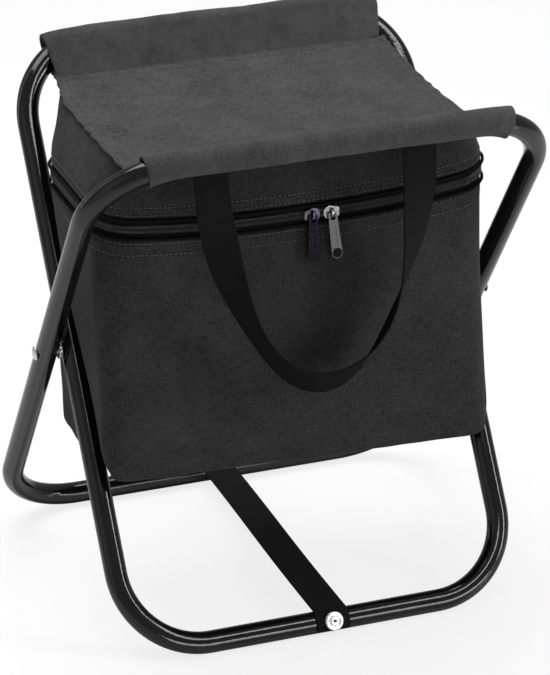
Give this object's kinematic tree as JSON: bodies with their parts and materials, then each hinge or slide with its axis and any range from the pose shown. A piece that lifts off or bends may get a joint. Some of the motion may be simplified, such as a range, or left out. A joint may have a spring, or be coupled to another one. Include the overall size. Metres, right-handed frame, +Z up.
{
  "type": "folding cooler stool",
  "caption": "Folding stool with crossed steel tube loops, a fabric seat, a zipped insulated cooler bag under the seat, a carry handle and a floor strap.",
  "frame": {"origin": "on the floor, midway between the feet and midway between the sides", "axes": "+Z up, -Y towards the front (the handle side), +X to the right seen from the front"},
  "size_m": [0.3502, 0.2778, 0.3846],
  "materials": {
    "frame_steel": "gloss black powder coat",
    "bright_metal": "bright plated",
    "dark_metal": "dark plated",
    "cloth": "plain woven, matt",
    "webbing": "ribbed woven, matt",
    "zip_tape": "woven tape and coil",
    "foil": "silver film",
    "foam": "matt foam"
  },
  "bodies": {
    "outer_frame": {"outer_frame_tube": "frame_steel", "pivot_rivet_left": "bright_metal", "pivot_rivet_right": "bright_metal", "pivot_spacer_left": "bright_metal", "pivot_spacer_right": "bright_metal", "front_hem": "cloth", "seat_panel": "cloth", "lid_skirt": "cloth", "lid_insulation": "foam", "lid_lining": "foil", "zip_tape_upper": "zip_tape", "zip_coil_upper": "zip_tape", "zip_binding_upper": "zip_tape", "lid_hinge_strip": "cloth", "floor_strap": "webbing", "strap_washer_rear": "bright_metal", "strap_rivet_rear": "bright_metal"},
    "inner_frame": {"inner_frame_tube": "frame_steel", "rear_hem": "cloth", "strap_washer_front": "bright_metal", "strap_rivet_front": "bright_metal"},
    "bag": {"bag_shell": "cloth", "bag_insulation": "foam", "bag_lining": "foil", "zip_tape_lower": "zip_tape", "zip_coil_lower": "zip_tape", "zip_binding_lower": "zip_tape"},
    "slider_left": {"zip_slider_left": "dark_metal"},
    "slider_right": {"zip_slider_right": "bright_metal"},
    "pull_left": {"zip_pull_left": "dark_metal"},
    "pull_right": {"zip_pull_right": "bright_metal"},
    "handle": {"front_handle": "webbing"}
  },
  "joints": [
    {"name": "fold", "type": "hinge", "parent": "outer_frame", "child": "inner_frame", "pos_m": [0, 0, 0.1915], "axis": [1, 0, 0], "range_deg": [0, 56], "deforming": ["seat_panel", "floor_strap", "lid_skirt", "lid_insulation", "lid_lining", "lid_hinge_strip", "zip_tape_upper", "zip_coil_upper", "zip_binding_upper", "bag_shell", "bag_insulation", "bag_lining", "zip_tape_lower", "zip_coil_lower", "zip_binding_lower"]},
    {"name": "bag_drop", "type": "hinge", "parent": "outer_frame", "child": "bag", "pos_m": [0, 0.06, 0.309], "axis": [1, 0, 0], "range_deg": [0, 18]},
    {"name": "slider_left_travel", "type": "slide", "parent": "outer_frame", "child": "slider_left", "axis": [-0.9989, 0, 0.046], "range_m": [0, 0.119]},
    {"name": "slider_right_travel", "type": "slide", "parent": "outer_frame", "child": "slider_right", "axis": [0.9981, 0, 0.0624], "range_m": [0, 0.085]},
    {"name": "pull_left_swing", "type": "hinge", "parent": "slider_left", "child": "pull_left", "pos_m": [0.0099, -0.06985, 0.2984], "axis": [-1, 0, 0], "range_deg": [0, 150]},
    {"name": "pull_right_swing", "type": "hinge", "parent": "slider_right", "child": "pull_right", "pos_m": [0.0241, -0.06985, 0.2984], "axis": [-1, 0, 0], "range_deg": [0, 150]},
    {"name": "handle_swing", "type": "hinge", "parent": "outer_frame", "child": "handle", "pos_m": [0, -0.1016, 0.3554], "axis": [-1, 0, 0], "range_deg": [0, 85]}
  ]
}
